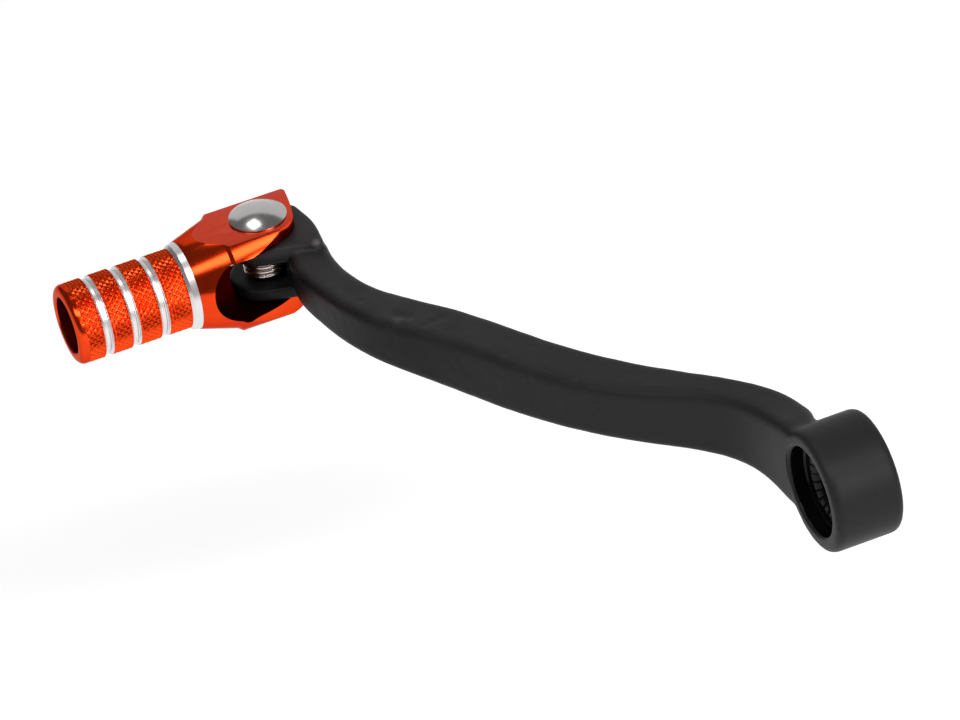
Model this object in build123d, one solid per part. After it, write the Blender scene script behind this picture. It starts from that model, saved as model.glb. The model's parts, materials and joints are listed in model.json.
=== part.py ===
from build123d import *
import math
import os

# Folding-tip gear shift lever, drawn as its separate pieces.
#
# Frame: millimetres, origin on the shaft bore axis at mid-length of the boss.
# +X runs forward from the boss to the folding tip, +Y runs outward along the shaft,
# +Z is up along the pivot pin.  The tip is drawn straight out, at rest.

# ---- boss that fits the gear shaft ----
BOSS_D = 28.0
BOSS_LENGTH = 16.0
BOSS_EDGE_R = 1.6
COUNTERBORE_D = 20.6
COUNTERBORE_DEPTH = 4.0
SPLINE_MINOR_D = 12.4
SPLINE_MAJOR_D = 13.4
SPLINE_TEETH = 24
SPLINE_LEAD_IN = 1.2
# half widths of one spline groove, at the bore wall and at its floor
GROOVE_HALF_MOUTH = 0.16
GROOVE_HALF_FLOOR = 0.08

# ---- forged arm: x, y, z of the centre, heading in degrees, width, height ----
ARM_STATIONS = (
    (6.0, 3.4, 0.0, 3.0, 8.2, 20.8),
    (17.0, 4.1, 0.0, 7.0, 9.4, 19.5),
    (27.2, 6.6, 0.1, 23.4, 9.3, 17.5),
    (38.5, 14.4, 0.2, 41.5, 9.0, 16.2),
    (50.0, 25.1, 0.2, 42.0, 11.8, 14.3),
    (62.2, 34.8, 0.3, 34.5, 12.5, 14.1),
    (77.0, 43.7, 0.3, 28.5, 12.3, 14.6),
    (93.2, 52.4, 0.4, 30.0, 12.4, 13.9),
    (106.0, 60.0, 0.5, 28.0, 11.8, 12.5),
    (116.0, 64.4, 0.5, 18.5, 10.4, 11.8),
    (126.0, 66.8, 0.6, 7.0, 9.8, 11.2),
    (141.0, 66.4, 0.6, -4.0, 8.6, 11.0),
)
ARM_EDGE_R = 2.2

# ---- folding joint ----
PIVOT_X = 150.0
PIVOT_Y = 74.0
JOINT_Z = 0.6
LUG_R = 8.6
LUG_HALF_HEIGHT = 7.3
WEB_BACK_Y = -10.9
WEB_FACE_Y = -2.9
SPRING_BAY_BOTTOM = -3.2
SPRING_BAY_TOP = 3.4
SPRING_BAY_R = 6.2
PIN_D = 6.0
LUG_BORE_D = 6.1
STOP_GAP = 0.25

# ---- folding tip ----
TIP_END_Y = 48.6
BARREL_R = 9.5
END_BORE_D = 13.4
END_BORE_DEPTH = 27.0
GROOVE_EDGES = (42.7, 36.0, 28.9)
GROOVE_WIDTH = 2.0
GROOVE_DEPTH = 0.55
COLLAR_OUT_Y = 21.7
COLLAR_IN_Y = 19.3
COLLAR_R = 10.4
CONE_BASE_Y = 10.3
FORK_R = 14.0
FORK_FLAT_Z = 11.6
FORK_END_Y = -9.4
SLOT_HALF_HEIGHT = 8.0
SLOT_ROOT_Y = 8.5

# ---- pin, washers, clip, bush, spring ----
PIN_HEAD_D = 13.4
PIN_HEAD_RIM = 0.45
PIN_HEAD_RISE = 2.2
PIN_TAIL_Z = -14.2
CLIP_D = 12.0
CLIP_THICKNESS = 0.9
CLIP_GROOVE_D = 4.8
WASHER_D = 12.4
WASHER_THICKNESS = 0.5
BUSH_D = 7.4
BUSH_BORE_D = 6.08
SPRING_MEAN_R = 4.6
SPRING_WIRE_D = 1.1
SPRING_PITCH = 1.2
SPRING_TURNS = 4
WEB_LEG = 8.8
TIP_LEG = 18.6


def at_pivot(shape):
    """Move a shape drawn round the pivot axis to its place on the lever."""
    return Pos(PIVOT_X, PIVOT_Y, 0) * shape


def slab(sketch, z_low, z_high):
    """Extrude a plan outline between two heights."""
    return Pos(0, 0, z_low) * extrude(sketch, z_high - z_low)


def along_y(radius, y_low, y_high):
    """Cylinder whose axis is the Y axis."""
    middle = (y_low + y_high) / 2
    return Pos(0, middle, 0) * Rot(90, 0, 0) * Cylinder(radius, y_high - y_low)


def boss_body():
    """Round boss with softened rims."""
    body = along_y(BOSS_D / 2, -BOSS_LENGTH / 2, BOSS_LENGTH / 2)
    rims = body.edges().filter_by(GeomType.CIRCLE)
    return fillet(rims, BOSS_EDGE_R)


def arm_body():
    """Arm lofted through rounded rectangular sections."""
    sections = []
    for x, y, z, heading, width, height in ARM_STATIONS:
        turn = math.radians(heading)
        plane = Plane(
            origin=(x, y, z),
            x_dir=(-math.sin(turn), math.cos(turn), 0),
            z_dir=(math.cos(turn), math.sin(turn), 0),
        )
        sections.append(plane * RectangleRounded(width, height, ARM_EDGE_R))
    return loft(sections)


def knuckle_body():
    """Two lugs on a web, with the bay for the spring between them."""
    near_corner = Pos(-10.6, WEB_BACK_Y + 1.5) * Circle(1.5)
    far_corner = Pos(4.8, WEB_BACK_Y + 3.0) * Circle(3.0)
    outline = make_hull((Circle(LUG_R) + near_corner + far_corner).edges())
    body = slab(outline, JOINT_Z - LUG_HALF_HEIGHT, JOINT_Z + LUG_HALF_HEIGHT)
    bay = Circle(SPRING_BAY_R) + Pos(0, WEB_FACE_Y + 15) * Rectangle(40, 30)
    body -= slab(bay, SPRING_BAY_BOTTOM, SPRING_BAY_TOP)
    return body


def stop_shoulder():
    """Shoulder under the web that the square corner of the lower ear rests on."""
    back = WEB_BACK_Y - 2.4
    front = FORK_END_Y - STOP_GAP
    block = Pos(5.0, (back + front) / 2) * RectangleRounded(8.0, front - back, 1.0)
    return slab(block, -FORK_FLAT_Z + 0.4, -1.0)


def spline_cut():
    """Bore for the gear shaft with a ring of narrow spline grooves round it."""
    wall = SPLINE_MINOR_D / 2
    floor = SPLINE_MAJOR_D / 2
    outline = Polyline(
        (wall - 1.0, -GROOVE_HALF_MOUTH),
        (wall, -GROOVE_HALF_MOUTH),
        (floor, -GROOVE_HALF_FLOOR),
        (floor, GROOVE_HALF_FLOOR),
        (wall, GROOVE_HALF_MOUTH),
        (wall - 1.0, GROOVE_HALF_MOUTH),
        close=True,
    )
    groove = extrude(Plane.XZ * make_face(outline), BOSS_LENGTH, both=True)
    cut = along_y(wall, -BOSS_LENGTH, BOSS_LENGTH)
    for tooth in range(SPLINE_TEETH):
        cut += Rot(0, tooth * 360 / SPLINE_TEETH, 0) * groove
    return cut


def lever_arm():
    """Forged arm with the splined boss at one end and the knuckle at the other."""
    body = boss_body() + arm_body()
    body += at_pivot(knuckle_body())
    body += at_pivot(stop_shoulder())
    face = BOSS_LENGTH / 2
    body -= along_y(COUNTERBORE_D / 2, face - COUNTERBORE_DEPTH, face + 1)
    body -= spline_cut()
    lead_in = Rot(90, 0, 0) * Cone(
        SPLINE_MINOR_D / 2 - 0.4,
        SPLINE_MAJOR_D / 2 + SPLINE_LEAD_IN - 0.1,
        SPLINE_LEAD_IN + 0.8,
    )
    mouth = face - COUNTERBORE_DEPTH - (SPLINE_LEAD_IN + 0.8) / 2
    body -= Pos(0, mouth, 0) * Rot(0, 0, 180) * lead_in
    body -= at_pivot(Cylinder(LUG_BORE_D / 2, 60))
    body -= at_pivot(leg_hole(spring_path()[0]))
    return body


def spring_path():
    """Centre line of the spring wire: fixed leg, coils, tip leg."""
    height = SPRING_PITCH * SPRING_TURNS
    low = (SPRING_BAY_BOTTOM + SPRING_BAY_TOP - height) / 2
    coils = Pos(0, 0, low) * Helix(SPRING_PITCH, height, SPRING_MEAN_R)
    web_leg = Line((coils @ 0) - (coils % 0) * WEB_LEG, coils @ 0)
    tip_leg = Line(coils @ 1, (coils @ 1) + (coils % 1) * TIP_LEG)
    return web_leg, coils, tip_leg


def leg_hole(leg):
    """Drilling that takes a straight leg of the spring."""
    plane = Plane(leg @ 0.5, z_dir=leg % 0.5)
    return plane * Cylinder(SPRING_WIRE_D / 2 + 0.15, leg.length + 0.6)


def tip_profile():
    """Half outline of the turned tip, radius against distance from the pin."""
    points = [(0, FORK_END_Y), (FORK_R, FORK_END_Y), (FORK_R, CONE_BASE_Y)]
    points += [(COLLAR_R, COLLAR_IN_Y), (BARREL_R, COLLAR_OUT_Y)]
    floor = BARREL_R - GROOVE_DEPTH
    for edge in reversed(GROOVE_EDGES):
        points.append((BARREL_R, edge - GROOVE_WIDTH))
        points.append((floor, edge - GROOVE_WIDTH + 0.4))
        points.append((floor, edge - 0.5))
        points.append((BARREL_R, edge))
    points += [(BARREL_R, TIP_END_Y - 1.6), (BARREL_R - 0.5, TIP_END_Y - 0.4)]
    points += [(BARREL_R - 1.1, TIP_END_Y), (0, TIP_END_Y)]
    return make_face(Polyline(*points, close=True))


def ear_corner_cut():
    """Plan outline taken off the fork on the side it folds towards."""
    start = (2.6, FORK_END_Y)
    middle = (-7.6, -3.0)
    end = (-10.5, 4.5)
    leave = (-14.5, 12.5)
    outline = ThreePointArc(start, (-4.2, -7.2), middle)
    outline += ThreePointArc(middle, (-9.3, 0.4), end)
    outline += ThreePointArc(end, (-11.6, 8.9), leave)
    outline += Polyline(leave, (-20, 12.5), (-20, -15), (2.6, -15), start)
    return make_face(outline)


def tip_body():
    """Knurled barrel, cone and slotted fork turned and milled from one bar."""
    body = revolve(tip_profile(), Axis.Y)
    for side in (-1, 1):
        body -= Pos(0, 0, side * (FORK_FLAT_Z + 10)) * Box(60, 120, 20)
    slot = Pos(0, SLOT_ROOT_Y - 20, JOINT_Z) * Box(60, 40, 2 * SLOT_HALF_HEIGHT)
    slot += Pos(0, SLOT_ROOT_Y, JOINT_Z) * Rot(0, 90, 0) * Cylinder(SLOT_HALF_HEIGHT, 60)
    body -= slot
    body -= slab(ear_corner_cut(), -30, 30)
    body -= along_y(END_BORE_D / 2, TIP_END_Y - END_BORE_DEPTH, TIP_END_Y + 1)
    body -= Cylinder(PIN_D / 2, 60)
    body -= leg_hole(spring_path()[2])
    return at_pivot(body)


def ring(outer_d, inner_d, z_low, z_high):
    """Flat ring round the pivot axis."""
    return slab(Circle(outer_d / 2) - Circle(inner_d / 2), z_low, z_high)


def domed_head(radius, rim, rise):
    """Low round head: a short straight rim under a spherical cap."""
    cap_rise = rise - rim
    ball_r = (radius**2 + cap_rise**2) / (2 * cap_rise)
    ball = Pos(0, 0, rise - ball_r) * Sphere(ball_r)
    return ball & slab(Circle(radius), 0, rise + 1)


def pivot_pin():
    """Pin with a low domed head above and a clip groove below."""
    shank = slab(Circle(PIN_D / 2), PIN_TAIL_Z, FORK_FLAT_Z + 0.2)
    shank = chamfer(shank.faces().sort_by(Axis.Z)[0].edges(), 0.5)
    head = Pos(0, 0, FORK_FLAT_Z) * domed_head(PIN_HEAD_D / 2, PIN_HEAD_RIM, PIN_HEAD_RISE)
    groove_top = -FORK_FLAT_Z - 0.1
    groove_low = groove_top - CLIP_THICKNESS - 0.1
    groove = ring(PIN_D + 2, CLIP_GROOVE_D, groove_low, groove_top)
    return at_pivot(shank + head - groove)


def upper_washer():
    """Thin washer between the upper lug and the upper ear."""
    low = JOINT_Z + LUG_HALF_HEIGHT + 0.1
    return at_pivot(ring(WASHER_D, PIN_D + 0.1, low, low + WASHER_THICKNESS))


def lower_washer():
    """Thin washer between the lower lug and the lower ear."""
    high = JOINT_Z - LUG_HALF_HEIGHT - 0.1
    return at_pivot(ring(WASHER_D, PIN_D + 0.1, high - WASHER_THICKNESS, high))


def retaining_clip():
    """Open spring clip in the groove at the tail of the pin."""
    high = -FORK_FLAT_Z - 0.15
    body = ring(CLIP_D, CLIP_GROOVE_D, high - CLIP_THICKNESS, high)
    body -= Pos(0, 5, 0) * Box(CLIP_GROOVE_D - 0.6, 10, 60)
    return at_pivot(body)


def spring_bush():
    """Sleeve on the pin that keeps the spring coils off it."""
    return at_pivot(ring(BUSH_D, BUSH_BORE_D, SPRING_BAY_BOTTOM, SPRING_BAY_TOP))


def return_spring():
    """Torsion spring round the bush, one leg on the web and one in the tip."""
    web_leg, coils, tip_leg = spring_path()
    path = Wire([web_leg, coils, tip_leg])
    profile = Plane(path @ 0, z_dir=path % 0) * Circle(SPRING_WIRE_D / 2)
    return at_pivot(sweep(profile, path))


PIECES = (
    lever_arm,
    tip_body,
    pivot_pin,
    upper_washer,
    lower_washer,
    retaining_clip,
    spring_bush,
    return_spring,
)

os.makedirs("parts", exist_ok=True)
for piece in PIECES:
    solid = piece()
    solid.label = piece.__name__
    export_step(solid, f"parts/{piece.__name__}.step")
    print(piece.__name__, [round(v, 2) for v in solid.bounding_box().size], round(solid.volume, 1),
          len(solid.solids()), solid.is_valid)
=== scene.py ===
import json
import logging
import math
from dataclasses import dataclass
from enum import Enum
from typing import Any, Iterable, NamedTuple

import bmesh
import bpy
from bmesh.types import BMEdge, BMVert
from bpy.types import Material, Mesh, NodeSocket, Object
from mathutils import Matrix, Vector, noise


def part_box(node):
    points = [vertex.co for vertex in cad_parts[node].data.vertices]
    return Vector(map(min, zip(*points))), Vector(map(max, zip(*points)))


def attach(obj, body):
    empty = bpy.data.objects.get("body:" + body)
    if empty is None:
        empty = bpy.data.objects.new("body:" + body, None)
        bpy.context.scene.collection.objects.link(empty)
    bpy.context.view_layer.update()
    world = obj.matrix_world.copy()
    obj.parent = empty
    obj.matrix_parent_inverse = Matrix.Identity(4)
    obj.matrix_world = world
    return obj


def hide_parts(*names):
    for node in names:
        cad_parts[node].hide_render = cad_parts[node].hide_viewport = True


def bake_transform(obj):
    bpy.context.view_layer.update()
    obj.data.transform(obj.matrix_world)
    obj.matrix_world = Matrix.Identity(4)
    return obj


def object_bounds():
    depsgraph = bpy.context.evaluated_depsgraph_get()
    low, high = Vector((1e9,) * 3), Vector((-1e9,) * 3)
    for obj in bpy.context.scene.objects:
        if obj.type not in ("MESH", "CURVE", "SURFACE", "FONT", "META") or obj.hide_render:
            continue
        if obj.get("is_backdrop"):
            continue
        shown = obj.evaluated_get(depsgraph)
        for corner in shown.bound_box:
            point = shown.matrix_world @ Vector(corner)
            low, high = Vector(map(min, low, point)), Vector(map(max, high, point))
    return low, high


# Finished look of a folding-tip gear shift lever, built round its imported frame.
# Pieces are shaped in millimetres round their own zero and then seated in the frame,
# which is in metres: +X from the boss to the tip, +Y out along the shaft, +Z up the pin.

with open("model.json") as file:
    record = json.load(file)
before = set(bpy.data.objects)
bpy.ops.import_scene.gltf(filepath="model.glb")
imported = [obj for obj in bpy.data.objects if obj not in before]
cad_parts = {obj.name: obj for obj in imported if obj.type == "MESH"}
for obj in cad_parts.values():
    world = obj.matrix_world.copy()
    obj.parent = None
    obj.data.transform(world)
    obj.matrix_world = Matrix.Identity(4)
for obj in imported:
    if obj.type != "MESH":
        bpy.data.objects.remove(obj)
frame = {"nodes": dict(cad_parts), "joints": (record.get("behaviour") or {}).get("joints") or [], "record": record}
log = logging.getLogger("gear_shift_lever")

MM = 0.001
LEVER = "lever"
TIP = "folding_tip"


# ---- shader building


class Value:
    """A socket that varies over a surface; arithmetic on it adds Math nodes."""

    def __init__(self, shader: "Shader", socket: NodeSocket) -> None:
        """Wrap one output socket of a material under construction."""
        self.shader = shader
        self.socket = socket

    def maths(self, operation: str, *items: "Value | float") -> "Value":
        """Add one Math node with its inputs in order and return its result."""
        return self.shader.add("ShaderNodeMath", {"operation": operation}, dict(enumerate(items)))

    def __add__(self, other: "Value | float") -> "Value":
        """Sum."""
        return self.maths("ADD", self, other)

    def __radd__(self, other: float) -> "Value":
        """Sum with a plain number on the left."""
        return self.maths("ADD", other, self)

    def __sub__(self, other: "Value | float") -> "Value":
        """Difference."""
        return self.maths("SUBTRACT", self, other)

    def __rsub__(self, other: float) -> "Value":
        """Difference from a plain number."""
        return self.maths("SUBTRACT", other, self)

    def __mul__(self, other: "Value | float") -> "Value":
        """Product."""
        return self.maths("MULTIPLY", self, other)

    def __rmul__(self, other: float) -> "Value":
        """Product with a plain number on the left."""
        return self.maths("MULTIPLY", other, self)

    def clamped(self) -> "Value":
        """The same value held between 0 and 1."""
        return self.maths("MINIMUM", self.maths("MAXIMUM", self, 0.0), 1.0)


class Shader:
    """A procedural material under construction, measured in millimetres."""

    def __init__(self, name: str) -> None:
        """Start an empty node material with a principled surface.

        Args:
            name: the material's name.
        """
        self.material = bpy.data.materials.new(name)
        self.material.use_nodes = True
        self.tree = self.material.node_tree
        self.tree.nodes.clear()
        self.surface = self.tree.nodes.new("ShaderNodeBsdfPrincipled")
        output = self.tree.nodes.new("ShaderNodeOutputMaterial")
        self.tree.links.new(self.surface.outputs[0], output.inputs[0])

    def plug(self, socket: NodeSocket, item: Any) -> None:
        """Link a value to an input socket, or set the socket to a constant."""
        if isinstance(item, Value):
            self.tree.links.new(item.socket, socket)
        else:
            socket.default_value = item

    def add(
        self,
        kind: str,
        settings: dict[str, Any] | None = None,
        inputs: dict[int | str, Any] | None = None,
        output: int | str = 0,
    ) -> Value:
        """Add one node.

        Args:
            kind: the node's type.
            settings: properties set before the sockets.
            inputs: constants or values for its sockets, by index or name.
            output: the socket to hand back.

        Returns:
            The chosen output.
        """
        node = self.tree.nodes.new(kind)
        for key, setting in (settings or {}).items():
            setattr(node, key, setting)
        for key, item in (inputs or {}).items():
            self.plug(node.inputs[key], item)
        return Value(self, node.outputs[output])

    def dress(self, **sockets: Any) -> None:
        """Set the surface's sockets, written with underscores for spaces."""
        for key, item in sockets.items():
            self.plug(self.surface.inputs[key.replace("_", " ")], item)

    def place(self, stretch: tuple[float, float, float] = (1, 1, 1)) -> Value:
        """Position on the object in millimetres.

        Args:
            stretch: scale of the pattern along each axis.

        Returns:
            The mapped object coordinates.
        """
        where = self.add("ShaderNodeTexCoord", output="Object")
        scale = tuple(part / MM for part in stretch)
        return self.add("ShaderNodeMapping", {}, {"Vector": where, "Scale": scale})

    def grain(self, where: Value, size: float, detail: float = 2.0) -> Value:
        """Noise between 0 and 1, by its largest cell in millimetres and its finer layers."""
        inputs = {"Vector": where, "Scale": 1.0 / size, "Detail": detail}
        return self.add("ShaderNodeTexNoise", {}, inputs)

    def tint(self, share: Value, first: "tuple | Value", second: tuple) -> Value:
        """Colour between two others, by a share from 0 to 1."""
        start = first if isinstance(first, Value) else (*first, 1.0)
        inputs = {"Factor": share, 6: start, 7: (*second, 1.0)}
        return self.add("ShaderNodeMix", {"data_type": "RGBA"}, inputs, 2)

    def relief(self, height: Value, depth: float) -> Value:
        """Normal bent by a height from 0 to 1 that is some millimetres deep."""
        return self.add("ShaderNodeBump", {}, {"Height": height, "Distance": depth * MM})


# ---- finishes


class WearAndSheenSpot(NamedTuple):
    """A lighter spot on the paint: rubbed wear with a painted highlight on the knuckle, painted highlight along
    the ridge, and painted light on the arm's top.
    """

    centre: tuple
    size: float
    colour: tuple = (0.040, 0.037, 0.037)


@dataclass(frozen=True)
class SatinPaint:
    """Baked satin black paint over a shot-blasted forging."""

    name: str
    deep: tuple = (0.0045, 0.0042, 0.0043)
    worn: tuple = (0.0090, 0.0084, 0.0086)
    # colour of the painted highlight over a band of heights
    highlight_colour: tuple = (0.0240, 0.0225, 0.0228)
    roughness: float = 0.45
    gloss: float = 0.11
    # heights in millimetres between which the paint gets the painted highlight, and how fast it fades in
    highlight_heights: tuple = ()
    highlight_fade: float = 0.6
    grain_depth: float = 0.022
    # lighter spots: partly rubbed wear, partly painted highlight and painted light
    wear_and_sheen_spots: tuple = ()

    def material(self) -> Material:
        """Build the material: mottling, grain, a painted highlight over a band of heights, and lighter spots that
        are partly rubbed wear and partly painted highlight.
        """
        shader = Shader(self.name)
        where = shader.place()
        cloud = shader.grain(where, 9.0, 4.0)
        skin = shader.grain(where, 0.55, 3.0)
        speck = shader.grain(where, 1.6, 1.0)
        rubbed = ((cloud - 0.46) * 3.2).clamped()
        colour = shader.tint(rubbed, self.deep, self.worn)
        # painted highlight: lighter paint over a band of heights, across the boss's side and the arm's top
        if self.highlight_heights:
            level = shader.add("ShaderNodeSeparateXYZ", {}, {"Vector": where}, 2)
            low = ((level - self.highlight_heights[0]) * self.highlight_fade).clamped()
            high = ((self.highlight_heights[1] - level) * self.highlight_fade).clamped()
            colour = shader.tint((low * high * (0.3 + cloud)).clamped(), colour, self.highlight_colour)
        # lighter spots, partly rubbed wear and partly painted highlight and painted light
        for lightened_spot in self.wear_and_sheen_spots:
            gap = shader.add(
                "ShaderNodeVectorMath", {"operation": "DISTANCE"}, {0: where, 1: lightened_spot.centre}, 1
            )
            share = ((1.0 - gap * (1.0 / lightened_spot.size)) * 1.6 * (0.4 + skin)).clamped()
            colour = shader.tint(share, colour, lightened_spot.colour)
        shader.dress(
            Base_Color=colour,
            Roughness=self.roughness + 0.10 * (cloud - 0.5) + 0.08 * (skin - 0.5),
            Specular_IOR_Level=self.gloss,
            Normal=shader.relief(0.55 * skin + 0.45 * speck, self.grain_depth),
        )
        return shader.material


@dataclass(frozen=True)
class AnodisedOrange:
    """Orange dye in an anodic film over machined aluminium."""

    name: str
    dye: tuple = (0.72, 0.036, 0.004)
    pale: tuple = (0.80, 0.062, 0.008)
    roughness: float = 0.17
    edge: tuple = (0.62, 0.40, 0.33, 1.0)
    film: float = 0.08
    grain_depth: float = 0.0035

    def material(self) -> Material:
        """Build the material with its blasted grain and faint turning lines."""
        shader = Shader(self.name)
        where = shader.place()
        blast = shader.grain(where, 0.16, 2.0)
        cloud = shader.grain(where, 5.0, 3.0)
        turning = shader.grain(shader.place((0.15, 5.0, 0.15)), 1.0, 2.0)
        shader.dress(
            Base_Color=shader.tint((cloud * 1.3 - 0.2).clamped(), self.dye, self.pale),
            Metallic=1.0,
            Roughness=self.roughness + 0.10 * (blast - 0.5) + 0.05 * (cloud - 0.5),
            Specular_Tint=self.edge,
            Coat_Weight=self.film,
            Coat_Roughness=0.12,
            Normal=shader.relief(0.8 * blast + 0.2 * turning, self.grain_depth),
        )
        return shader.material


@dataclass(frozen=True)
class TurnedMetal:
    """Bare metal with fine tool lines left by turning or drawing."""

    name: str
    light: tuple
    dark: tuple
    roughness: float
    line_depth: float = 0.002
    lines: tuple = (0.3, 9.0, 0.3)

    def material(self) -> Material:
        """Build the material with its tool lines and a little dullness in patches."""
        shader = Shader(self.name)
        line = shader.grain(shader.place(self.lines), 1.0, 3.0)
        cloud = shader.grain(shader.place(), 3.0, 3.0)
        shader.dress(
            Base_Color=shader.tint(cloud, self.dark, self.light),
            Metallic=1.0,
            Roughness=self.roughness + 0.10 * (line - 0.5) + 0.06 * (cloud - 0.5),
            Normal=shader.relief(line, self.line_depth),
        )
        return shader.material


PAINT = SatinPaint(
    "satin_black_paint",
    # painted highlight over these heights, on the boss's side and the arm's top
    highlight_heights=(4.8, 12.0),
    wear_and_sheen_spots=(
        # knuckle: rubbed spots that also paint its bright highlight
        WearAndSheenSpot((138.2, 64.9, 7.7), 1.4, (0.075, 0.070, 0.070)),
        WearAndSheenSpot((153.6, 61.0, 6.6), 0.6, (0.13, 0.12, 0.12)),
        # painted light: broad lighter patches on the arm's top
        WearAndSheenSpot((85.5, 45.1, 7.2), 3.4, (0.021, 0.0195, 0.0197)),
        WearAndSheenSpot((99.0, 54.0, 7.2), 6.5, (0.020, 0.0185, 0.0187)),
        # painted highlight along the ridge between the arm's top and side, over the nicks there
        WearAndSheenSpot((73.3, 46.4, 6.6), 1.3),
        WearAndSheenSpot((56.6, 36.2, 6.6), 1.3),
        WearAndSheenSpot((99.9, 61.0, 6.8), 1.6),
        # painted light: the paint grows lighter towards the boss
        WearAndSheenSpot((20.0, 8.0, 6.0), 110.0, (0.0165, 0.0154, 0.0156)),
    ),
)
# the recess and the bore get a near-black copy of the paint, darker than the arm
BORE_BLACK = SatinPaint("oiled_bore", (0.002, 0.002, 0.002), (0.004, 0.004, 0.004), 0.6, 0.12)
ORANGE = AnodisedOrange("orange_anodised")
# knurl: rougher than the plain orange, which is real, and its dye brighter, which is painted light
ORANGE_KNURL_BRIGHTENED = AnodisedOrange(
    "orange_anodised_knurl", (0.86, 0.055, 0.006), (0.92, 0.080, 0.010), 0.26
)
# painted shade: near-black orange for the walls of the slot
ORANGE_SLOT_SHADE = AnodisedOrange(
    "orange_anodised_slot", (0.030, 0.003, 0.001), (0.045, 0.004, 0.001), 0.45, film=0.0
)
ORANGE_FLAT = AnodisedOrange("orange_anodised_flat", roughness=0.30, film=0.50)
BRIGHT_CUT = TurnedMetal("bright_cut_aluminium", (0.78, 0.76, 0.76), (0.68, 0.66, 0.66), 0.33)
PIN_STEEL = TurnedMetal(
    "polished_steel", (0.66, 0.64, 0.62), (0.52, 0.51, 0.49), 0.19, 0.0015, (1.5, 1.5, 1.5)
)
WASHER_STEEL = TurnedMetal(
    "washer_steel", (0.16, 0.15, 0.15), (0.09, 0.085, 0.08), 0.38, 0.003, (2.0, 2.0, 6.0)
)
CLIP_STEEL = TurnedMetal(
    "blued_spring_steel", (0.24, 0.22, 0.21), (0.10, 0.10, 0.12), 0.32, 0.003, (3.0, 3.0, 3.0)
)
BUSH_BRASS = TurnedMetal(
    "turned_brass", (0.74, 0.55, 0.24), (0.58, 0.40, 0.15), 0.26, 0.003, (0.3, 0.3, 9.0)
)
SPRING_WIRE = TurnedMetal(
    "drawn_spring_wire", (0.86, 0.78, 0.72), (0.60, 0.52, 0.47), 0.22, 0.003, (1.0, 1.0, 8.0)
)


# ---- shaping tools


class Corner(NamedTuple):
    """One corner of a turned outline: place along the axis, radius, and rounding."""

    along: float
    radius: float
    rounding: float = 0.0


class Spindle(Enum):
    """The axis that a piece is turned about."""

    BARREL = (0, 1, 0)
    PIN = (0, 0, 1)

    def point(self, corner: Corner) -> Vector:
        """Where a corner of the outline starts before it is spun."""
        if self is Spindle.BARREL:
            return Vector((0, corner.along, corner.radius))
        return Vector((corner.radius, 0, corner.along))

    def along(self, point: Vector) -> float:
        """Distance of a point along the axis."""
        return point.dot(Vector(self.value))

    def radius(self, point: Vector) -> float:
        """Distance of a point from the axis."""
        return (point - Vector(self.value) * self.along(point)).length


def picked(items: list, kind: type) -> list:
    """The items of one kind among those that a bmesh operator hands back."""
    return [item for item in items if isinstance(item, kind)]


def held(value: float) -> float:
    """A number held between 0 and 1."""
    return min(1.0, max(0.0, value))


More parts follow.
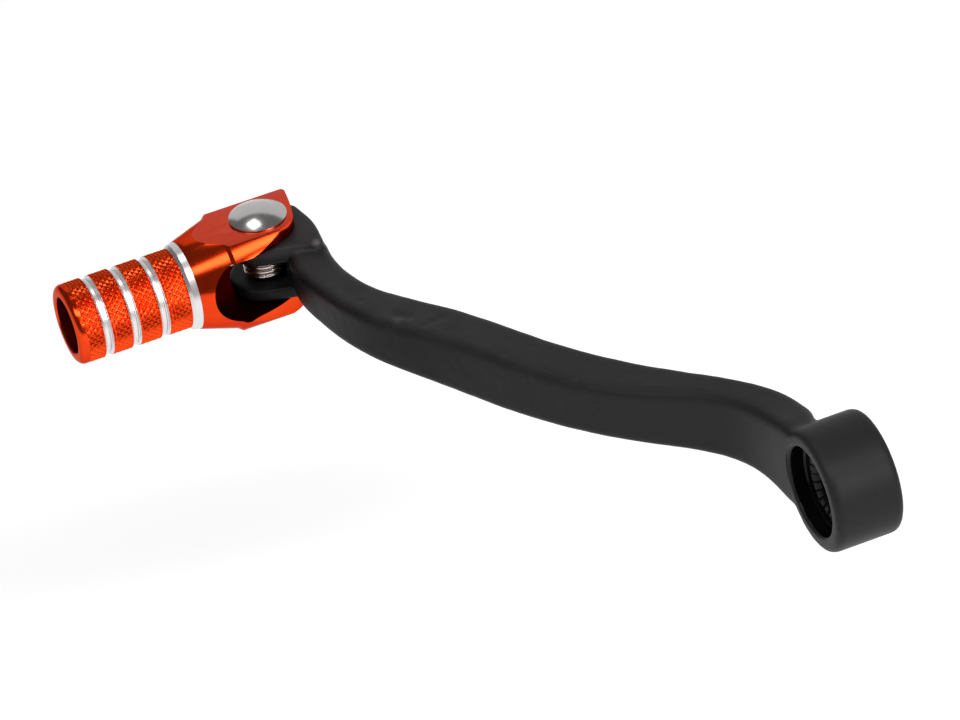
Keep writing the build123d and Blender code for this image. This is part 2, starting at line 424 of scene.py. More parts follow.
class Workpiece:
    """A mesh being shaped with bmesh operators, in millimetres."""

    def __init__(self, mesh: Mesh | None = None) -> None:
        """Start empty, or from a copy of a mesh that is already in millimetres."""
        self.bm = bmesh.new()
        if mesh:
            self.bm.from_mesh(mesh)

    @classmethod
    def turned(
        cls, outline: list[Corner], spindle: Spindle, steps: int, closed: bool = False
    ) -> "Workpiece":
        """Spin an outline into a solid of revolution.

        Args:
            outline: the corners, from one end of the axis to the other.
            spindle: the axis.
            steps: how many faces go round.
            closed: whether the last corner joins the first, as on a ring.

        Returns:
            The turned piece with its rounded corners.
        """
        piece = cls()
        bm = piece.bm
        verts = [bm.verts.new(spindle.point(corner)) for corner in outline]
        ends = verts[1:] + (verts[:1] if closed else [])
        edges = [bm.edges.new(pair) for pair in zip(verts, ends)]
        bmesh.ops.spin(
            bm, geom=verts + edges, cent=(0, 0, 0), axis=spindle.value, dvec=(0, 0, 0),
            angle=math.tau, steps=steps, use_merge=True,
        )
        bmesh.ops.remove_doubles(bm, verts=bm.verts[:], dist=1e-4)
        for corner in outline:
            if corner.rounding:
                piece.round_ring(corner, spindle)
        piece.face_outwards()
        return piece

    @classmethod
    def block(cls, low: tuple, high: tuple) -> "Workpiece":
        """Rectangular block between two corners."""
        piece = cls()
        size = Vector(high) - Vector(low)
        middle = (Vector(high) + Vector(low)) / 2
        matrix = Matrix.Translation(middle) @ Matrix.Diagonal((*size, 1.0))
        bmesh.ops.create_cube(piece.bm, size=1.0, matrix=matrix)
        return piece

    @classmethod
    def prism(cls, outline: list[tuple[float, float]], low: float, high: float) -> "Workpiece":
        """Flat outline in plan, raised between two heights."""
        piece = cls()
        face = piece.bm.faces.new([piece.bm.verts.new((x, y, low)) for x, y in outline])
        raised = bmesh.ops.extrude_face_region(piece.bm, geom=[face])
        verts = picked(raised["geom"], BMVert)
        bmesh.ops.translate(piece.bm, verts=verts, vec=(0, 0, high - low))
        piece.face_outwards()
        return piece

    def round_ring(self, corner: Corner, spindle: Spindle) -> None:
        """Round the circular edge that a corner of the outline has swept."""

        def on_ring(vert: BMVert) -> bool:
            """Whether a vertex lies on the corner's circle."""
            off_along = abs(spindle.along(vert.co) - corner.along)
            return off_along < 1e-3 and abs(spindle.radius(vert.co) - corner.radius) < 1e-3

        edges = [edge for edge in self.bm.edges if all(on_ring(vert) for vert in edge.verts)]
        self.bevel(edges, corner.rounding, 4)

    def bevel(self, edges: list[BMEdge], width: float, segments: int) -> None:
        """Round a set of edges."""
        bmesh.ops.bevel(
            self.bm, geom=edges, offset=width, offset_type="OFFSET", segments=segments,
            profile=0.5, affect="EDGES", material=-1, clamp_overlap=True,
        )

    def trim(self, point: tuple, outwards: tuple) -> None:
        """Mill a flat: cut away what lies past a plane and close the cut."""
        geometry = self.bm.verts[:] + self.bm.edges[:] + self.bm.faces[:]
        bmesh.ops.bisect_plane(
            self.bm, geom=geometry, dist=1e-5, plane_co=point, plane_no=outwards, clear_outer=True
        )
        self.close_holes()

    def close_holes(self) -> None:
        """Fill every open loop of edges."""
        open_edges = [edge for edge in self.bm.edges if edge.is_boundary]
        bmesh.ops.holes_fill(self.bm, edges=open_edges, sides=0)

    def relax(self, verts: Iterable[BMVert], passes: int) -> None:
        """Smooth some vertices a number of times."""
        chosen = list(verts)
        for _ in range(passes):
            bmesh.ops.smooth_vert(
                self.bm, verts=chosen, factor=0.5,
                use_axis_x=True, use_axis_y=True, use_axis_z=True,
            )

    def face_outwards(self) -> None:
        """Turn every face to the outside."""
        bmesh.ops.recalc_face_normals(self.bm, faces=self.bm.faces[:])

    def release(self, name: str) -> Object:
        """Hand the mesh over to a new object, still in millimetres."""
        mesh = bpy.data.meshes.new(name)
        self.bm.to_mesh(mesh)
        self.bm.free()
        obj = bpy.data.objects.new(name, mesh)
        bpy.context.scene.collection.objects.link(obj)
        return obj


def settle(obj: Object) -> None:
    """Apply an object's modifiers to its mesh."""
    graph = bpy.context.evaluated_depsgraph_get()
    mesh = bpy.data.meshes.new_from_object(obj.evaluated_get(graph), depsgraph=graph)
    old = obj.data
    obj.modifiers.clear()
    obj.data = mesh
    bpy.data.meshes.remove(old)


def discard(obj: Object) -> None:
    """Remove a helper object and its mesh."""
    mesh = obj.data
    bpy.data.objects.remove(obj)
    bpy.data.meshes.remove(mesh)


def carve(obj: Object, cutter: Workpiece) -> None:
    """Cut one solid out of an object."""
    tool = cutter.release("cutter")
    modifier = obj.modifiers.new("cut", "BOOLEAN")
    modifier.operation = "DIFFERENCE"
    modifier.solver = "EXACT"
    modifier.object = tool
    settle(obj)
    discard(tool)


def arc(start: tuple, middle: tuple, end: tuple, steps: int) -> list[tuple[float, float]]:
    """Points on the circle through three points, the last one left out.

    Args:
        start: first point in plan.
        middle: a point passed on the way.
        end: last point.
        steps: how many chords the arc has.

    Returns:
        The points from start up to, and not including, end.
    """
    a, b, c = (complex(*point) for point in (start, middle, end))
    ratio = (c - a) / (b - a)
    centre = a + (b - a) * (ratio - abs(ratio) ** 2) / (2j * ratio.imag)
    turn = (c - centre) / (a - centre)
    sweep = math.atan2(turn.imag, turn.real)
    points = []
    for step in range(steps):
        angle = sweep * step / steps
        spot = centre + (a - centre) * complex(math.cos(angle), math.sin(angle))
        points.append((spot.real, spot.imag))
    return points


def arcs(points: tuple, steps: int) -> list[tuple[float, float]]:
    """Path of arcs through points, every second point being the middle of an arc."""
    path = []
    for start, middle, end in zip(points[0::2], points[1::2], points[2::2]):
        path += arc(start, middle, end, steps)
    return [*path, points[-1]]


def shade(obj: Object, angle: float) -> None:
    """Smooth shading with edges sharper than an angle in degrees kept crisp."""
    work = Workpiece(obj.data)
    limit = math.radians(angle)
    for face in work.bm.faces:
        face.smooth = True
    for edge in work.bm.edges:
        edge.smooth = len(edge.link_faces) == 2 and edge.calc_face_angle(0.0) < limit
    work.bm.to_mesh(obj.data)
    work.bm.free()


def into_place(obj: Object, origin: Vector, finishes: list) -> None:
    """Scale a piece to metres at its place in the frame and paint it."""
    obj.data.transform(Matrix.Translation(origin) @ Matrix.Scale(MM, 4))
    for finish in finishes:
        obj.data.materials.append(finish.material())


def seat(obj: Object, origin: Vector, finishes: list, body: str) -> None:
    """Put a finished piece in its place in the frame, paint it and tie it to its body.

    Args:
        obj: the piece, in millimetres round its own zero.
        origin: where that zero is, in metres.
        finishes: one finish for each material index of the mesh.
        body: the body that carries the piece.
    """
    into_place(obj, origin, finishes)
    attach(obj, body)
    log.info("%s: %d faces on body %s", obj.name, len(obj.data.polygons), body)


def pivot() -> Vector:
    """Where the folding joint's axis crosses the arm's middle plane, in metres."""
    return Vector(frame["joints"][0]["pos_m"])


def mount_radius(name: str) -> float:
    """Radius of a round mount in millimetres, as the record gives it."""
    mounts = {mount["name"]: mount for mount in frame["record"]["mounts"]}
    return mounts[name]["dims"]["r_mm"]


# ---- forged arm


class Dent(NamedTuple):
    """A shallow mark left in the forging."""

    centre: tuple
    size: float
    depth: float


@dataclass
class ForgedArm:
    """The arm with its boss and knuckle, softened the way a die leaves a forging."""

    boss_half: float = 8.0
    plug_sides: int = 64
    plug_overlap: float = 0.6
    recess_floor: float = 4.0
    spline_count: int = 24
    spline_depth: float = 0.5
    spline_columns: int = 8
    lead_in: float = 1.2
    recess_break: float = 0.4
    recess_rim: float = 0.8
    rim_steps: int = 6
    voxel: float = 0.42
    crisp_angle: float = 38.0
    skin_passes: int = 5
    knuckle_passes: int = 12
    joint_passes: int = 6
    rim_passes: int = 8
    joint_reaches: tuple = (3.0, 2.4, 1.8)
    knuckle_fill: float = 1.2
    neck_fill: float = 0.6
    waves: tuple = ((0.10, 8.0), (0.035, 2.4))
    wave_start: float = 17.0
    wave_run: float = 10.0
    knuckle_x: float = 138.5
    bay_half: float = 4.4
    dents: tuple = (
        Dent((102.3, 60.1, 7.0), 1.3, 0.32),
        Dent((101.0, 59.2, 7.0), 1.1, 0.26),
        Dent((99.7, 58.3, 7.0), 1.2, 0.28),
        Dent((99.9, 61.6, 6.6), 1.5, -0.30),
        Dent((94.5, 56.8, 7.0), 1.0, 0.24),
        Dent((94.7, 54.5, 7.0), 1.0, 0.26),
        Dent((94.8, 52.3, 7.0), 1.0, 0.22),
        Dent((112.6, 65.0, 7.0), 0.8, 0.26),
        Dent((138.2, 64.9, 7.4), 1.4, -0.35),
        Dent((73.3, 46.4, 6.5), 0.9, 0.22),
        Dent((56.6, 36.2, 6.5), 0.9, 0.22),
        Dent((88.0, 52.5, 7.3), 3.0, 0.14),
    )

    def build(self) -> Object:
        """Shape, dress and mount the arm.

        Returns:
            The finished arm.
        """
        obj = self.solid_blank()
        skin = obj.modifiers.new("skin", "REMESH")
        skin.mode = "VOXEL"
        skin.voxel_size = self.voxel
        settle(obj)
        self.soften(obj)
        carve(obj, self.shaft_cutter())
        shade(obj, self.crisp_angle)
        self.mark_bore(obj)
        seat(obj, Vector((0, 0, 0)), [PAINT, BORE_BLACK], LEVER)
        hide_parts("lever_arm")
        return obj

    def solid_blank(self) -> Object:
        """Copy the arm's frame mesh and fill its bore and recess, which are cut again later."""
        work = Workpiece(frame["nodes"]["lever_arm"].data)
        bmesh.ops.remove_doubles(work.bm, verts=work.bm.verts[:], dist=1e-7)
        bmesh.ops.scale(work.bm, vec=(1 / MM, 1 / MM, 1 / MM), verts=work.bm.verts[:])
        reach = mount_radius("screw_head_recess") + self.plug_overlap
        half = self.boss_half
        outline = [Corner(-half, 0), Corner(-half, reach), Corner(half, reach), Corner(half, 0)]
        plug = Workpiece.turned(outline, Spindle.BARREL, self.plug_sides).release("plug")
        work.bm.from_mesh(plug.data)
        discard(plug)
        return work.release("forged_arm")

    def blend_boss_joint(self, work: Workpiece) -> None:
        """Run the arm and the boss together with a hollow that deepens towards the corner."""
        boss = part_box("lever_arm")[1].z / MM
        for reach in self.joint_reaches:
            corner = [
                vert
                for vert in work.bm.verts
                if vert.co.x > 4.0
                and abs(vert.co.z) < boss - 1.5
                and 0.5 < vert.co.y < self.boss_half - 0.4
                and boss - 0.6 < math.hypot(vert.co.x, vert.co.z) < boss + reach
            ]
            work.relax(corner, self.joint_passes)
        rim = [
            vert
            for vert in work.bm.verts
            if vert.co.x > 6.0
            and vert.co.y > self.boss_half - 2.0
            and boss - 2.6 < math.hypot(vert.co.x, vert.co.z) < boss + 1.5
        ]
        work.relax(rim, self.rim_passes)

    def fill_back(self, work: Workpiece) -> None:
        """Give the back of the lugs and of the neck the fullness that rounding took off."""
        pin = pivot() / MM
        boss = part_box("lever_arm")[1].z / MM
        for vert in work.bm.verts:
            near = math.exp(-(((vert.co.x - pin.x + 3.0) / 7.5) ** 2))
            back = held((pin.y - 7.0 - vert.co.y) / 3.0)
            neck = math.exp(-(((vert.co.x - boss - 1.2) / 2.6) ** 2))
            inner = held((1.0 - vert.co.y) / 2.0)
            outside = held(2.0 * (math.hypot(vert.co.x, vert.co.z) - boss))
            vert.co.y -= self.knuckle_fill * near * back + self.neck_fill * neck * inner * outside

    def mark_bore(self, obj: Object) -> None:
        """Give the recess and the bore their own finish."""
        reach = mount_radius("screw_head_recess") + 0.15
        for face in obj.data.polygons:
            inside = math.hypot(face.center.x, face.center.z) < reach
            if inside and abs(face.center.y) < self.boss_half - 0.5:
                face.material_index = 1

    def soften(self, obj: Object) -> None:
        """Round the edges, true up the machined boss and press in the forging marks."""
        work = Workpiece(obj.data)
        work.relax(work.bm.verts, self.skin_passes)
        pin = pivot() / MM
        knuckle = [
            vert
            for vert in work.bm.verts
            if vert.co.x > self.knuckle_x
            and (abs(vert.co.z) > self.bay_half or vert.co.y < pin.y - 6.0)
        ]
        work.relax(knuckle, self.knuckle_passes)
        self.blend_boss_joint(work)
        self.fill_back(work)
        work.bm.normal_update()
        self.true_up_boss(work)
        self.forge_marks(work)
        work.bm.to_mesh(obj.data)
        work.bm.free()

    def true_up_boss(self, work: Workpiece) -> None:
        """Bring the outside of the boss back to its exact radius."""
        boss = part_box("lever_arm")[1].z / MM
        for vert in work.bm.verts:
            radius = math.hypot(vert.co.x, vert.co.z)
            if abs(radius - boss) < 0.12 and abs(vert.co.y) < self.boss_half - 1.8:
                vert.co.x *= boss / radius
                vert.co.z *= boss / radius

    def forge_marks(self, work: Workpiece) -> None:
        """Give the arm its slight waviness and its few shallow dents."""
        for vert in work.bm.verts:
            fade = held((vert.co.x - self.wave_start) / self.wave_run)
            wave = sum(size * noise.noise(vert.co / cell) for size, cell in self.waves)
            scoop = 0.0
            for dent in self.dents:
                reach = (vert.co - Vector(dent.centre)).length / dent.size
                scoop += dent.depth * math.exp(-reach * reach)
            vert.co += vert.normal * (wave - scoop) * fade

    def shaft_cutter(self) -> Workpiece:
        """Splined bore, lead-in, screw recess and its rounded rim, as one cutter."""
        wall = mount_radius("shaft_bore")
        recess = mount_radius("screw_head_recess")
        rounded = self.recess_break
        outline = [
            Corner(-self.boss_half - 2, 0),
            Corner(-self.boss_half - 2, wall + 2.5),
            Corner(-self.boss_half + 0.5, wall),
            Corner(self.recess_floor - self.lead_in, wall),
            Corner(self.recess_floor, wall + self.lead_in + rounded),
            Corner(self.recess_floor, recess - rounded),
            Corner(self.recess_floor + rounded, recess),
        ]
        for step in range(self.rim_steps + 1):
            angle = math.pi / 2 * step / self.rim_steps
            along = self.boss_half - self.recess_rim * (1 - math.sin(angle))
            outline.append(Corner(along, recess + self.recess_rim * (1 - math.cos(angle))))
        outline.append(Corner(self.boss_half + 2, recess + self.recess_rim))
        outline.append(Corner(self.boss_half + 2, 0))
        columns = self.spline_count * self.spline_columns
        cutter = Workpiece.turned(outline, Spindle.BARREL, columns)
        for vert in cutter.bm.verts:
            radius = math.hypot(vert.co.x, vert.co.z)
            column = round(math.atan2(vert.co.z, vert.co.x) / math.tau * columns)
            if abs(radius - wall) < 0.01 and column % self.spline_columns in (3, 4):
                scale = (wall + self.spline_depth) / wall
                vert.co.x *= scale
                vert.co.z *= scale
        return cutter


# ---- folding tip


@dataclass
class TipFork:
    """The slotted fork and cone that carry the toe barrel on the pivot pin."""

    radius: float = 14.0
    end: float = -9.4
    step: float = 10.1
    cone_base: float = 11.0
    cone_base_radius: float = 13.15
    cone_top: float = 19.5
    cone_top_radius: float = 10.5
    slot_middle: float = 0.75
    slot_half: float = 7.85
    slot_root: float = 16.5
    pin_radius: float = 3.0
    edge_break: float = 0.22
    crisp_angle: float = 24.0
    sides: int = 160
    reach: float = 20.0
    fold_corner: tuple = (
        (7.4, -9.4), (2.2, -8.6), (-3.6, -7.2), (-6.0, -5.5), (-7.6, -3.0),
        (-9.4, 0.5), (-10.7, 4.5), (-11.9, 8.6), (-14.5, 12.5),
    )
    fold_outside: tuple = ((-20, 12.5), (-20, -15), (7.4, -15))
    far_corner: tuple = ((6.6, -9.4), (7.8, -8.8), (8.5, -7.7))
    far_outside: tuple = ((12.0, -1.5), (20, -1.5), (20, -15), (6.6, -15))

    def build(self) -> Object:
        """Turn, mill and dress the fork.

        Returns:
            The finished fork.
        """
        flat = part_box("tip_body")[1].z / MM
        work = Workpiece.turned(
            [
                Corner(self.end, 0),
                Corner(self.end, self.radius),
                Corner(self.step, self.radius),
                Corner(self.cone_base, self.cone_base_radius),
                Corner(self.cone_top, self.cone_top_radius),
                Corner(self.cone_top, 0),
            ],
            Spindle.BARREL,
            self.sides,
        )
        for side in (-1, 1):
            work.trim((0, 0, side * flat), (0, 0, side))
        obj = work.release("tip_fork")
        carve(obj, self.slot_cutter())
        carve(obj, self.corner_cutter(self.fold_corner, self.fold_outside, 6))
        carve(obj, self.corner_cutter(self.far_corner, self.far_outside, 8))
        carve(obj, self.pin_cutter())
        self.break_edges(obj)
        self.mark_faces(obj, flat)
        seat(obj, pivot(), [ORANGE, ORANGE_FLAT, ORANGE_SLOT_SHADE], TIP)
        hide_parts("tip_body")
        return obj

    def slot_cutter(self) -> Workpiece:
        """Wide slot with a full-radius root."""
        low = (-30, -30, self.slot_middle - self.slot_half)
        high = (30, self.slot_root, self.slot_middle + self.slot_half)
        cutter = Workpiece.block(low, high)
        root = [
            edge
            for edge in cutter.bm.edges
            if all(abs(vert.co.y - self.slot_root) < 1e-4 for vert in edge.verts)
            and abs(edge.verts[0].co.x - edge.verts[1].co.x) > 1.0
        ]
        cutter.bevel(root, self.slot_half - 0.01, 20)
        return cutter

    def corner_cutter(self, edge: tuple, outside: tuple, steps: int) -> Workpiece:
        """Cutter that rounds a corner of the ears in plan.

        Args:
            edge: points of the arcs that it leaves on the ears.
            outside: corners that close it clear of the fork.
            steps: chords in each arc.

        Returns:
            The cutter.
        """
        return Workpiece.prism([*arcs(edge, steps), *outside], -self.reach, self.reach)

    def pin_cutter(self) -> Workpiece:
        """Hole for the pin."""
        outline = [
            Corner(-self.reach, 0),
            Corner(-self.reach, self.pin_radius),
            Corner(self.reach, self.pin_radius),
            Corner(self.reach, 0),
        ]
        return Workpiece.turned(outline, Spindle.PIN, 48)

    def break_edges(self, obj: Object) -> None:
        """Take the sharp edges off with a small round."""
        work = Workpiece(obj.data)
        bmesh.ops.remove_doubles(work.bm, verts=work.bm.verts[:], dist=1e-3)
        bmesh.ops.dissolve_limit(
            work.bm, angle_limit=math.radians(0.3), verts=work.bm.verts[:], edges=work.bm.edges[:]
        )
        work.bm.to_mesh(obj.data)
        work.bm.free()
        modifier = obj.modifiers.new("edge_break", "BEVEL")
        modifier.width = self.edge_break
        modifier.segments = 2
        modifier.limit_method = "ANGLE"
        modifier.angle_limit = math.radians(self.crisp_angle)
        settle(obj)
        shade(obj, self.crisp_angle)

    def mark_faces(self, obj: Object, flat: float) -> None:
        """Give the milled flats their own finish, and the walls of the slot near-black orange as painted shade.

        Args:
            obj: the fork.
            flat: height of the flats above its middle.
        """
        root = self.slot_root - self.slot_half
        for face in obj.data.polygons:
            rise = abs(face.center.z - self.slot_middle)
            run = max(0.0, face.center.y - root)
            # walls of the slot: painted shade
            if abs(math.hypot(rise, run) - self.slot_half) < 0.06:
                face.material_index = 2
            elif abs(face.normal.z) > 0.999 and abs(face.center.z) > flat - 0.05:
                face.material_index = 1


@dataclass
class ToeBarrel:
    """The knurled toe barrel with its bright cut rings and its open end."""

    start: float = 19.3
    end: float = 48.9
    radius: float = 9.5
    collar_radius: float = 10.4
    collar_end: float = 21.7
    collar_edge: float = 0.25
    collar_crown: float = 0.30
    groove_width: float = 2.0
    groove_depth: float = 0.55
    grooves: tuple = (29.2, 36.3, 43.0)
    knurl_end: float = 47.0
    knurl_depth: float = 0.36
    knurl_flat: float = 1.35
    knurl_fade: float = 0.25
    line_from: float = 0.50
    line_depth: float = 0.28
    knurl_count: int = 38
    knurl_pitch: float = 1.6
    columns: int = 10
    end_round: float = 1.5
    bore_radius: float = 6.7
    bore_depth: float = 27.0
    bore_edge: float = 0.3
    bore_corner: float = 0.4

    def bands(self) -> list[tuple[float, float]]:
        """Start and end of each knurled band along the barrel."""
        starts = [self.collar_end, *self.grooves]
        ends = [groove - self.groove_width for groove in self.grooves] + [self.knurl_end]
        return list(zip(starts, ends))

    def outline(self) -> list[Corner]:
        """Half outline of the barrel from the collar to the floor of its end bore."""
        floor = self.radius - self.groove_depth
        crown = self.collar_radius - self.collar_crown
        points = [
            Corner(self.start, 0),
            Corner(self.start, self.collar_radius - self.collar_edge),
            Corner(self.start + self.collar_edge, self.collar_radius),
            Corner(self.start + 1.7, crown),
        ]
        for number, (low, high) in enumerate(self.bands()):
            rows = max(2, round((high - low) / (self.knurl_pitch / self.columns)))
            points += [
                Corner(low + (high - low) * row / rows, self.radius) for row in range(rows + 1)
            ]
            if number < len(self.grooves):
                line = high + self.line_from
                points += [
                    Corner(high + 0.30, floor),
                    Corner(line, floor),
                    Corner(line + 0.12, floor - self.line_depth),
                    Corner(line + 0.26, floor - self.line_depth),
                    Corner(line + 0.36, floor + 0.05),
                    Corner(high + self.groove_width - 0.45, floor),
                ]
        turn = self.end_round
        for step in range(1, 9):
            angle = math.pi / 2 * step / 8
            along = self.end - turn + turn * math.sin(angle)
            points.append(Corner(along, self.radius - turn + turn * math.cos(angle)))
        bottom = self.end - self.bore_depth
        return points + [
            Corner(self.end, self.bore_radius + self.bore_edge),
            Corner(self.end - self.bore_edge, self.bore_radius),
            Corner(bottom + self.bore_corner, self.bore_radius),
            Corner(bottom, self.bore_radius - self.bore_corner),
            Corner(bottom, 0),
        ]

    def press_knurl(self, work: Workpiece) -> None:
        """Sink two crossing sets of spiral lines into the bands, leaving diamonds."""
        turns = self.knurl_count / math.tau
        for vert in work.bm.verts:
            radius = math.hypot(vert.co.x, vert.co.z)
            if abs(radius - self.radius) > 1e-3:
                continue
            for low, high in self.bands():
                if not low - 1e-3 <= vert.co.y <= high + 1e-3:
                    continue
                round_share = math.atan2(vert.co.z, vert.co.x) * turns
                along_share = (vert.co.y - low) / self.knurl_pitch
                one = abs((round_share + along_share) % 1.0 - 0.5) * 2.0
                two = abs((round_share - along_share) % 1.0 - 0.5) * 2.0
                fade = held(min(vert.co.y - low, high - vert.co.y) / self.knurl_fade)
                sunk = 1.0 - held(self.knurl_flat * min(1.0 - one, 1.0 - two))
                scale = 1.0 - self.knurl_depth * sunk * fade / radius
                vert.co.x *= scale
                vert.co.z *= scale

    def build(self) -> Object:
        """Turn, knurl and dress the barrel.

        Returns:
            The finished barrel.
        """
        work = Workpiece.turned(self.outline(), Spindle.BARREL, self.knurl_count * self.columns)
        self.press_knurl(work)
        for face in work.bm.faces:
            middle = face.calc_center_median()
            outside = math.hypot(middle.x, middle.z) > self.bore_radius + 0.5
            in_groove = any(edge - self.groove_width < middle.y < edge for edge in self.grooves)
            if outside and (in_groove or middle.y < self.collar_end):
                face.material_index = 1
            # knurled bands: the brightened orange, partly painted light
            elif outside and middle.y < self.knurl_end:
                face.material_index = 2
        obj = work.release("toe_barrel")
        shade(obj, 14.0)
        seat(obj, pivot(), [ORANGE, BRIGHT_CUT, ORANGE_KNURL_BRIGHTENED], TIP)
        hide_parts("tip_body")
        return obj


# ---- pivot hardware


@dataclass
class PivotHardware:
    """The pin, washers, clip, bush and spring round the folding joint."""

    pin_radius: float = 3.0
    head_radius: float = 6.7
    head_rim: float = 0.45
    head_lip: float = 0.12
    dome_steps: int = 24
    pin_sides: int = 128
    tail_rounding: float = 0.45
    ring_sides: int = 96
    clip_groove_radius: float = 2.4
    clip_play: float = 0.05
    clip_gap: float = 0.78
    clip_steps: int = 72
    wire_radius: float = 0.55
    wire_sides: int = 18
    coil_radius: float = 4.6
    coil_pitch: float = 1.2
    coil_turns: int = 4
    coil_steps: int = 56
    leg_share: float = 0.3
    web_leg: float = 8.8
    tip_leg: float = 18.6

    def heights(self, node: str) -> tuple[float, float]:
        """Lowest and highest point of a node, in millimetres."""
        low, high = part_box(node)
        return low.z / MM, high.z / MM

    def width(self, node: str) -> float:
        """Half the width of a round node, in millimetres."""
        low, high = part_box(node)
        return (high.x - low.x) / 2 / MM

    def build_pin(self) -> Object:
        """Turn the pin with its low domed head.

        Returns:
            The finished pin.
        """
        low, high = self.heights("pivot_pin")
        clip_low, clip_high = self.heights("retaining_clip")
        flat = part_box("tip_body")[1].z / MM
        neck = self.clip_groove_radius
        outline = [
            Corner(low, 0),
            Corner(low, self.pin_radius, self.tail_rounding),
            Corner(clip_low - self.clip_play, self.pin_radius),
            Corner(clip_low - self.clip_play, neck),
            Corner(clip_high + self.clip_play, neck),
            Corner(clip_high + self.clip_play, self.pin_radius),
            Corner(flat, self.pin_radius),
            Corner(flat, self.head_radius - 0.1),
            Corner(flat + self.head_lip, self.head_radius),
        ]
        rise = high - flat - self.head_rim
        ball = (self.head_radius**2 + rise**2) / (2 * rise)
        steep = math.asin(self.head_radius / ball)
        for step in range(self.dome_steps + 1):
            slope = steep * (1 - step / self.dome_steps)
            spot = Corner(high - ball + ball * math.cos(slope), ball * math.sin(slope))
            outline.append(spot)
        work = Workpiece.turned(outline, Spindle.PIN, self.pin_sides)
        obj = work.release("domed_pivot_pin")
        shade(obj, 30.0)
        seat(obj, pivot(), [PIN_STEEL], TIP)
        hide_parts("pivot_pin")
        return obj

    def build_ring(
        self, node: str, name: str, bore: float, edge: float, finish: TurnedMetal, body: str
    ) -> Object:
        """Turn a flat ring in the place of a node.

        Args:
            node: the node that the ring stands for.
            name: the piece's name.
            bore: radius of its hole.
            edge: rounding of its edges.
            finish: its finish.
            body: the body that carries it.

        Returns:
            The finished ring.
        """
        low, high = self.heights(node)
        outer = self.width(node)
        outline = [
            Corner(low, bore, edge),
            Corner(low, outer, edge),
            Corner(high, outer, edge),
            Corner(high, bore, edge),
        ]
        obj = Workpiece.turned(outline, Spindle.PIN, self.ring_sides, closed=True).release(name)
        shade(obj, 40.0)
        seat(obj, pivot(), [finish], body)
        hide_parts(node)
        return obj

    def build_clip(self) -> Object:
        """Bend the open clip round the groove at the tail of the pin.

        Returns:
            The finished clip.
        """
        low, high = self.heights("retaining_clip")
        inner = self.clip_groove_radius
        outer = self.width("retaining_clip")
        work = Workpiece()
        start = math.pi / 2 + self.clip_gap / 2
        corners = [(inner, low), (outer, low), (outer, high), (inner, high)]
        verts = [
            work.bm.verts.new((radius * math.cos(start), radius * math.sin(start), height))
            for radius, height in corners
        ]
        edges = [work.bm.edges.new(pair) for pair in zip(verts, verts[1:] + verts[:1])]
        bmesh.ops.spin(
            work.bm, geom=verts + edges, cent=(0, 0, 0), axis=(0, 0, 1), dvec=(0, 0, 0),
            angle=math.tau - self.clip_gap, steps=self.clip_steps,
        )
        work.close_holes()
        work.face_outwards()
        sharp = [edge for edge in work.bm.edges if edge.calc_face_angle(0.0) > 1.0]
        work.bevel(sharp, 0.1, 2)
        obj = work.release("open_clip")
        shade(obj, 40.0)
        seat(obj, pivot(), [CLIP_STEEL], TIP)
        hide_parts("retaining_clip")
        return obj

    def build_spring(self) -> Object:
        """Wind the torsion spring and run out its two straight legs.

        Returns:
            The finished spring, which is tied to neither the arm nor the tip.
        """
        bay_low, bay_high = self.heights("spring_bush")
        rise = self.coil_pitch * self.coil_turns
        low = (bay_low + bay_high - rise) / 2
        slope = self.coil_pitch / (math.tau * self.coil_radius)
        steps = self.coil_steps * self.coil_turns
        work = Workpiece()
        spot = Matrix.Translation((self.coil_radius, 0, low)) @ Matrix.Rotation(math.pi / 2, 4, "X")
        ring = bmesh.ops.create_circle(
            work.bm, cap_ends=False, radius=self.wire_radius, segments=self.wire_sides, matrix=spot
        )
        section = list({edge for vert in ring["verts"] for edge in vert.link_edges})
        leg = bmesh.ops.extrude_edge_only(work.bm, edges=section)
        ends = picked(leg["geom"], BMVert)
        bmesh.ops.translate(work.bm, verts=ends, vec=(0, -self.web_leg, -self.web_leg * slope))
        wound = bmesh.ops.spin(
            work.bm, geom=ring["verts"] + section, cent=(0, 0, 0), axis=(0, 0, 1),
            dvec=(0, 0, rise / steps), angle=math.tau * self.coil_turns, steps=steps,
        )
        last = picked(wound["geom_last"], BMEdge)
        leg = bmesh.ops.extrude_edge_only(work.bm, edges=last)
        ends = picked(leg["geom"], BMVert)
        bmesh.ops.translate(work.bm, verts=ends, vec=(0, self.tip_leg, self.tip_leg * slope))
        work.close_holes()
        work.face_outwards()
        obj = work.release("torsion_spring")
        shade(obj, 50.0)
        into_place(obj, pivot(), [SPRING_WIRE])
        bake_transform(obj)
        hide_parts("return_spring")
        log.info("%s: %d faces between %s and %s", obj.name, len(obj.data.polygons), LEVER, TIP)
        return obj

    def build(self) -> None:
        """Make every small piece round the pin."""
        self.build_pin()
        bore = self.pin_radius + 0.05
        self.build_ring("upper_washer", "upper_pivot_washer", bore, 0.1, WASHER_STEEL, TIP)
        self.build_ring("lower_washer", "lower_pivot_washer", bore, 0.1, WASHER_STEEL, TIP)
        self.build_ring("spring_bush", "brass_spring_bush", bore, 0.15, BUSH_BRASS, LEVER)
        self.build_clip()
        self.build_spring()


# ---- studio


def direction(bearing: float, elevation: float) -> Vector:
    """Unit vector at a compass angle from +Y towards +X and an angle above the table."""
    turn = math.radians(bearing)
    rise = math.radians(elevation)
    return Vector(
        (math.sin(turn) * math.cos(rise), math.cos(turn) * math.cos(rise), math.sin(rise))
    )


class Softbox(NamedTuple):
    """One studio light: its direction and distance, its size and its strength."""

    name: str
    bearing: float
    elevation: float
    distance: float
    width: float
    height: float
    radiance: float


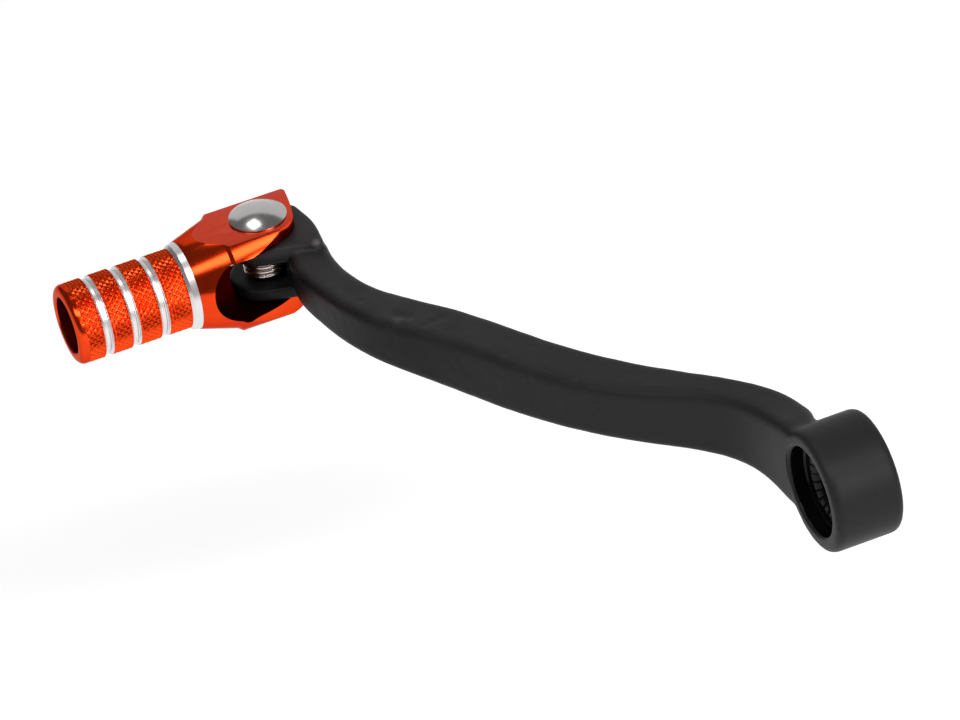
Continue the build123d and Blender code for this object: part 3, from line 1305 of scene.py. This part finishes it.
@dataclass
class Studio:
    """White table, soft lights and the camera."""

    target: tuple = (0.0850, 0.0482, 0.0)
    distance: float = 1.4257
    bearing: float = -71.13
    elevation: float = 34.38
    roll: float = -8.24
    lens: float = 240.8
    table_drop: float = 0.10
    table_size: float = 4.0
    table_white: tuple = (0.86, 0.86, 0.86, 1.0)
    table_glow: float = 0.25
    room_grey: tuple = (0.16, 0.16, 0.165, 1.0)
    lights: tuple = (
        Softbox("softbox_over_camera", -80.0, 60.0, 1.6, 2.6, 0.46, 6.3),
        Softbox("overhead_strip", 78.0, 70.0, 1.4, 0.34, 0.44, 5.0),
        Softbox("backdrop_glow", 118.0, 21.0, 2.2, 3.4, 2.3, 0.55),
        Softbox("camera_side_fill", -112.0, 25.0, 1.8, 0.7, 0.8, 8.0),
    )

    def build_camera(self) -> None:
        """Aim the camera at the middle of the lever."""
        back = direction(self.bearing, self.elevation)
        data = bpy.data.cameras.new("camera")
        data.lens = self.lens
        data.sensor_width = 36.0
        data.clip_start = 0.05
        data.clip_end = 20.0
        camera = bpy.data.objects.new("camera", data)
        level = (-back).to_track_quat("-Z", "Y")
        rolled = level.to_matrix() @ Matrix.Rotation(math.radians(self.roll), 3, "Z")
        spot = Vector(self.target) + back * self.distance
        camera.matrix_world = Matrix.Translation(spot) @ rolled.to_4x4()
        bpy.context.scene.collection.objects.link(camera)
        bpy.context.scene.camera = camera

    def build_lights(self) -> None:
        """Hang the soft lights round the lever."""
        for light in self.lights:
            out = direction(light.bearing, light.elevation)
            data = bpy.data.lights.new(light.name, "AREA")
            data.shape = "RECTANGLE"
            data.size = light.width
            data.size_y = light.height
            data.energy = light.radiance * math.pi * light.width * light.height
            lamp = bpy.data.objects.new(light.name, data)
            lamp.location = Vector(self.target) + out * light.distance
            lamp.rotation_mode = "QUATERNION"
            lamp.rotation_quaternion = (-out).to_track_quat("-Z", "Y")
            lamp.visible_camera = False
            bpy.context.scene.collection.objects.link(lamp)

    def build_table(self) -> None:
        """Lay the pale table under the lever."""
        work = Workpiece()
        bmesh.ops.create_circle(
            work.bm, cap_ends=True, radius=self.table_size, segments=96,
            matrix=Matrix.Translation((0, 0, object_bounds()[0].z - self.table_drop)),
        )
        table = work.release("table")
        shader = Shader("pale_table")
        shader.dress(
            Base_Color=self.table_white,
            Roughness=0.9,
            Emission_Color=(1.0, 1.0, 1.0, 1.0),
            Emission_Strength=self.table_glow,
        )
        table.data.materials.append(shader.material)
        table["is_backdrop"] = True

    def build_world(self) -> None:
        """Fill the room with a dim, even grey."""
        world = bpy.data.worlds.new("room")
        world.use_nodes = True
        backdrop = world.node_tree.nodes["Background"]
        backdrop.inputs["Color"].default_value = self.room_grey
        bpy.context.scene.world = world

    def build(self) -> None:
        """Set up the camera, table, lights and room."""
        self.build_camera()
        self.build_table()
        self.build_lights()
        self.build_world()
        bpy.context.scene.view_settings.view_transform = "Standard"


# ---- assembly


def main() -> None:
    """Build every piece in order."""
    logging.basicConfig(level=logging.INFO, format="%(message)s")
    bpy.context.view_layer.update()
    Studio().build()
    ForgedArm().build()
    TipFork().build()
    ToeBarrel().build()
    PivotHardware().build()


if __name__ == "__main__":
    main()
